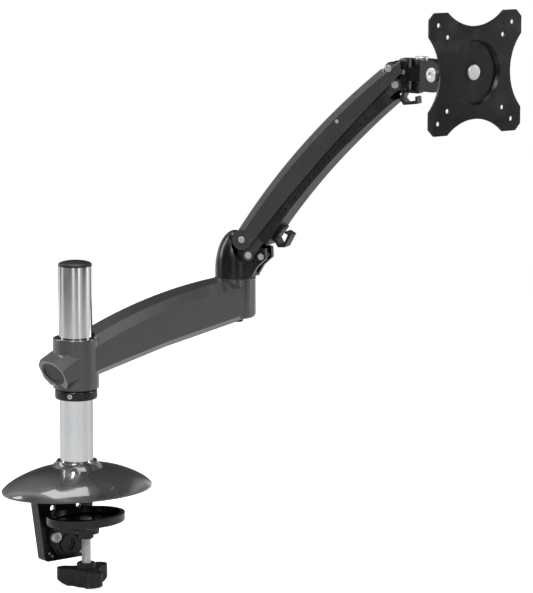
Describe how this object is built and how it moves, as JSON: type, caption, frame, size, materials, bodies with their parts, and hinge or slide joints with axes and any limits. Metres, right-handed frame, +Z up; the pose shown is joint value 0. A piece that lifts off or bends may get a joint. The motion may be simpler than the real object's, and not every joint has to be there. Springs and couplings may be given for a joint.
{
  "type": "monitor arm",
  "caption": "Desk-clamp monitor arm with a round pole, sliding collar, lower link, gas-spring parallelogram arm, tilting head and square mounting plate.",
  "frame": {"origin": "on the desk surface under the base's seat pad, on the pole's axis", "axes": "+Z up along the pole, -Y towards the user, +X to the user's right along the desk's back edge"},
  "size_m": [0.461, 0.3328, 0.6002],
  "materials": {
    "grey_paint": "glossy dark grey metallic paint",
    "black_paint": "gloss black powder coat",
    "satin_plate": "satin black powder coat",
    "black_plastic": "moulded black plastic",
    "pole_aluminium": "bright drawn aluminium tube",
    "zinc_steel": "bright zinc plate",
    "foam_pad": "cut foam rubber",
    "nylon": "nylon"
  },
  "bodies": {
    "base": {"base_cover": "grey_paint", "base_tab": "grey_paint", "seat_pad": "foam_pad", "clamp_back": "black_paint", "back_rivets": "zinc_steel", "angle_bracket": "black_paint", "bracket_bolts": "zinc_steel", "bracket_nuts": "zinc_steel", "clamp_nut": "zinc_steel", "clamp_boss": "black_paint", "pole_socket": "black_paint", "socket_screws": "zinc_steel", "pole": "pole_aluminium", "pole_cap": "black_plastic"},
    "jaw": {"clamp_pad": "black_paint"},
    "hand_screw": {"clamp_screw": "zinc_steel", "clamp_knob": "black_plastic"},
    "collar_ring": {"lock_ring": "black_paint", "lock_screw": "zinc_steel", "swivel_washer": "nylon"},
    "lower_link_arm": {"lower_arm": "grey_paint", "beam_end_cap": "black_plastic", "collar_bush_top": "nylon", "collar_bush_low": "nylon", "elbow_bush_top": "nylon", "elbow_bush_low": "nylon", "elbow_washer": "nylon"},
    "knuckle_body": {"knuckle": "black_paint", "elbow_shaft": "zinc_steel", "elbow_cap": "black_plastic", "tension_screw": "zinc_steel", "strut_foot_pin": "zinc_steel"},
    "upper_link": {"upper_cover": "grey_paint", "lift_pin_rear": "zinc_steel", "lift_pin_front": "zinc_steel", "rear_spacers": "nylon", "front_spacers": "nylon", "strut_top_pin": "zinc_steel", "strut_pin_collars": "nylon"},
    "parallel_link": {"lower_link": "grey_paint", "link_pin_rear": "zinc_steel", "link_pin_front": "zinc_steel", "cable_tray": "black_plastic", "clip_rear": "black_plastic"},
    "strut_rod_body": {"strut_rod": "zinc_steel"},
    "strut_tube_body": {"strut_tube": "black_paint"},
    "head": {"head_link": "black_paint", "head_screws": "zinc_steel", "clip_head": "black_plastic"},
    "yoke": {"pan_yoke": "black_paint", "pan_pin": "zinc_steel", "pan_washers": "nylon", "tilt_bolt": "zinc_steel", "tilt_nut": "zinc_steel", "tilt_washers": "nylon"},
    "tilt_body": {"tilt_stem": "black_paint", "turn_washer": "nylon", "centre_bolt": "zinc_steel"},
    "plate": {"vesa_plate": "satin_plate"}
  },
  "joints": [
    {"name": "jaw_slide", "type": "slide", "parent": "base", "child": "jaw", "axis": [0, 0, 1], "range_m": [0, 0.015]},
    {"name": "screw_turn", "type": "hinge", "parent": "jaw", "child": "hand_screw", "pos_m": [0, -0.0155, -0.06], "axis": [0, 0, 1], "range_deg": [0, 3605]},
    {"name": "height_slide", "type": "slide", "parent": "base", "child": "collar_ring", "axis": [0, 0, 1], "range_m": [-0.062, 0.068]},
    {"name": "base_swivel", "type": "hinge", "parent": "collar_ring", "child": "lower_link_arm", "pos_m": [0, 0, 0.14], "axis": [0, 0, 1], "continuous": true},
    {"name": "elbow_swivel", "type": "hinge", "parent": "lower_link_arm", "child": "knuckle_body", "pos_m": [0.209, 0, 0.2], "axis": [0, 0, 1], "range_deg": [-40, 160]},
    {"name": "lift", "type": "hinge", "parent": "knuckle_body", "child": "upper_link", "pos_m": [0.21685, -0.0136, 0.249], "axis": [-0.866, -0.5, 0], "range_deg": [-72, 4]},
    {"name": "link_follow", "type": "hinge", "parent": "knuckle_body", "child": "parallel_link", "pos_m": [0.2201, -0.01923, 0.232], "axis": [-0.866, -0.5, 0], "range_deg": [-72, 4]},
    {"name": "head_level", "type": "hinge", "parent": "upper_link", "child": "head", "pos_m": [0.29952, -0.15678, 0.43719], "axis": [-0.866, -0.5, 0], "range_deg": [-4, 72]},
    {"name": "strut_swing", "type": "hinge", "parent": "knuckle_body", "child": "strut_rod_body", "pos_m": [0.21685, -0.0136, 0.234], "axis": [-0.866, -0.5, 0], "range_deg": [-70, 4]},
    {"name": "strut_stroke", "type": "slide", "parent": "strut_rod_body", "child": "strut_tube_body", "axis": [0.2981, -0.5164, 0.8028], "range_m": [-0.0165, 0.0012]},
    {"name": "pan", "type": "hinge", "parent": "head", "child": "yoke", "pos_m": [0.31452, -0.18276, 0.43069], "axis": [0, 0, 1], "range_deg": [-45, 105]},
    {"name": "tilt", "type": "hinge", "parent": "yoke", "child": "tilt_body", "pos_m": [0.31452, -0.21776, 0.43269], "axis": [-1, 0, 0], "range_deg": [-35, 60]},
    {"name": "plate_turn", "type": "hinge", "parent": "tilt_body", "child": "plate", "pos_m": [0.31452, -0.26676, 0.43769], "axis": [0, -1, 0], "range_deg": [-90, 90]}
  ],
  "couplings": [
    {"joint": "link_follow", "follows": "lift", "ratio": 1},
    {"joint": "head_level", "follows": "lift", "ratio": -1},
    {"joint": "strut_swing", "follows": "lift", "ratio": 0.967},
    {"joint": "strut_stroke", "follows": "lift", "m_per_rad": 0.012777},
    {"joint": "screw_turn", "follows": "jaw_slide", "rad_per_m": 4188.8}
  ]
}
